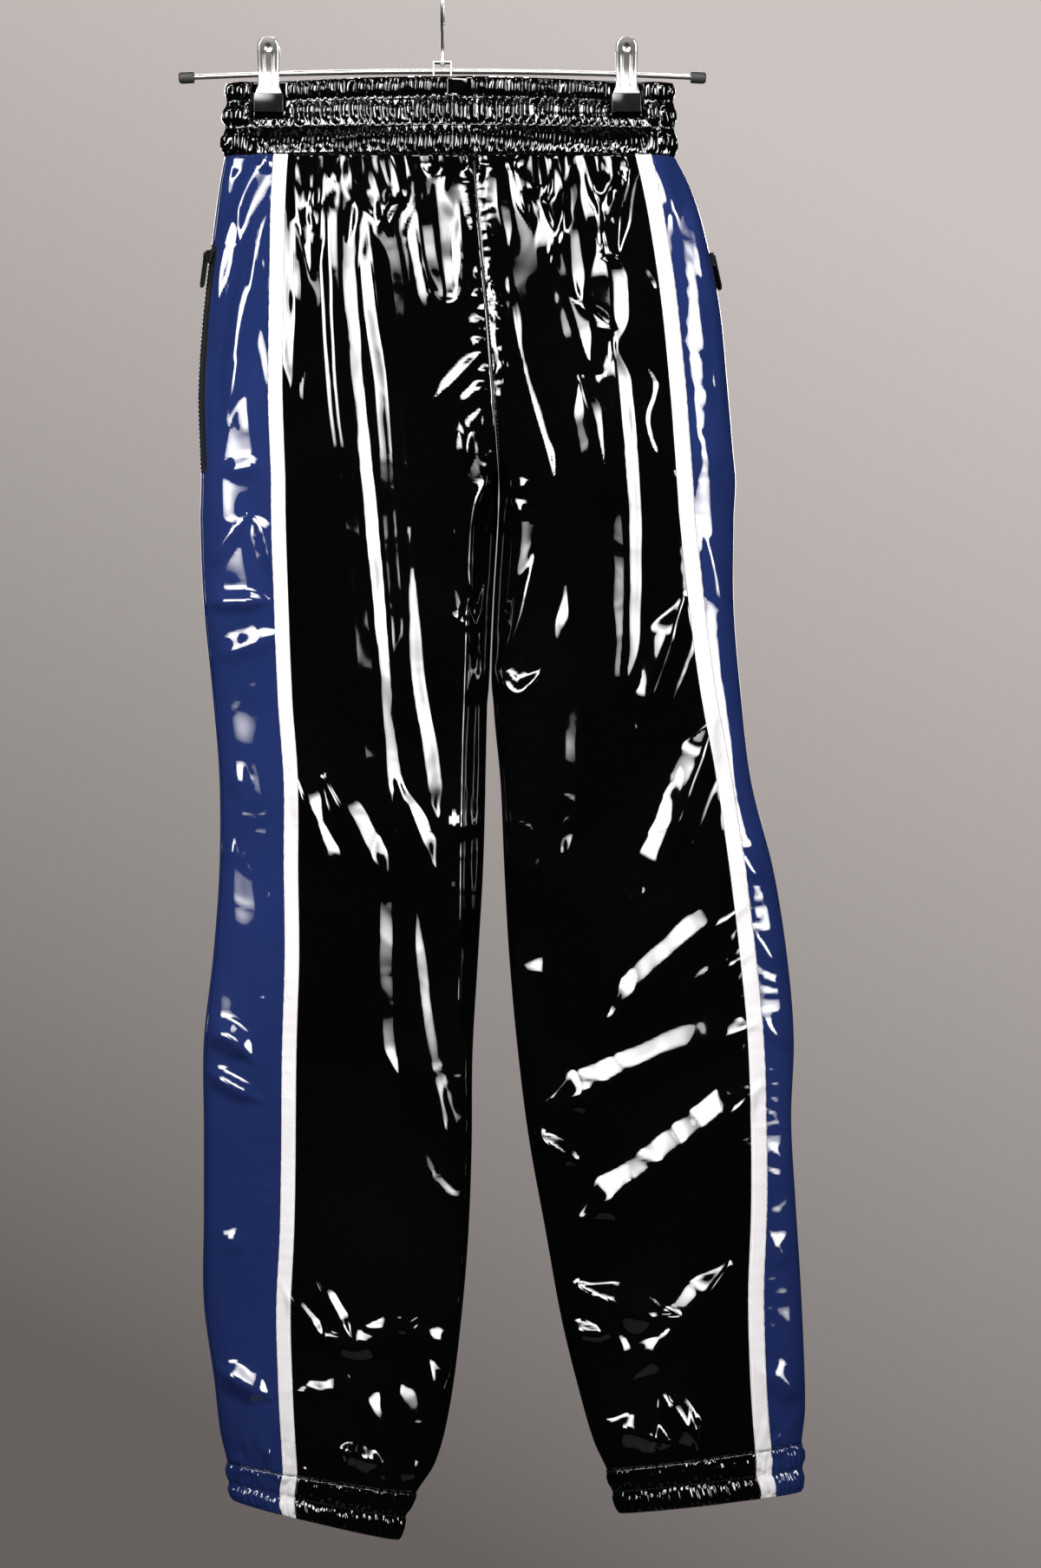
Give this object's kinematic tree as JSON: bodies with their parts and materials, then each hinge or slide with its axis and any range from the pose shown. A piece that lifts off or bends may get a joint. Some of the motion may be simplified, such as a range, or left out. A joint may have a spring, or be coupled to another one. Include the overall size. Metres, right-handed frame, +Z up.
{
  "type": "pvc track trousers on a clip hanger",
  "caption": "Glossy black PVC track trousers with blue side panels, white tape down each front seam, gathered waistband and cuffs and zipped pockets, hung by its waist on a chrome clip hanger.",
  "frame": {"origin": "inside top of the hook, where it rests on its rail", "axes": "+Z up, -Y out of the garment's front, +X to the viewer's right"},
  "size_m": [0.4615, 0.0863, 1.1628],
  "materials": {
    "pvc_black": "wet-look gloss PVC cloth",
    "pvc_blue": "wet-look gloss PVC cloth",
    "white_tape": "narrow woven tape, matt",
    "zip_black": "satin nylon coil and painted slider",
    "chrome": "bright plated steel",
    "rubber_black": "soft matt rubber",
    "vinyl_sleeve": "glossy soft vinyl"
  },
  "bodies": {
    "root": {"waistband": "pvc_black", "front_left": "pvc_black", "back_left": "pvc_black", "side_front_left": "pvc_blue", "side_back_left": "pvc_blue", "tape_left": "white_tape", "cuff_black_left": "pvc_black", "cuff_white_left": "white_tape", "cuff_blue_left": "pvc_blue", "zip_left": "zip_black", "slider_left": "zip_black", "front_right": "pvc_black", "back_right": "pvc_black", "side_front_right": "pvc_blue", "side_back_right": "pvc_blue", "tape_right": "white_tape", "cuff_black_right": "pvc_black", "cuff_white_right": "white_tape", "cuff_blue_right": "pvc_blue", "zip_right": "zip_black", "slider_right": "zip_black", "hook": "chrome", "hook_bracket": "chrome", "hanger_bar": "chrome", "bar_cap_left": "rubber_black", "clip_front_left": "chrome", "clip_back_left": "chrome", "sleeve_front_left": "vinyl_sleeve", "sleeve_back_left": "vinyl_sleeve", "clip_spring_left": "chrome", "bar_cap_right": "rubber_black", "clip_front_right": "chrome", "clip_back_right": "chrome", "sleeve_front_right": "vinyl_sleeve", "sleeve_back_right": "vinyl_sleeve", "clip_spring_right": "chrome"},
    "pull_tab_left": {"pull_left": "zip_black"},
    "pull_tab_right": {"pull_right": "zip_black"}
  },
  "joints": [
    {"name": "pull_left_swing", "type": "hinge", "parent": "root", "child": "pull_tab_left", "pos_m": [-0.17347, -0.01029, -0.21453], "axis": [-0.5269, 0.8485, 0.0485], "range_deg": [0, 160]},
    {"name": "pull_right_swing", "type": "hinge", "parent": "root", "child": "pull_tab_right", "pos_m": [0.20017, 0.01, -0.21422], "axis": [0.4642, -0.882, 0.0813], "range_deg": [0, 160]}
  ]
}
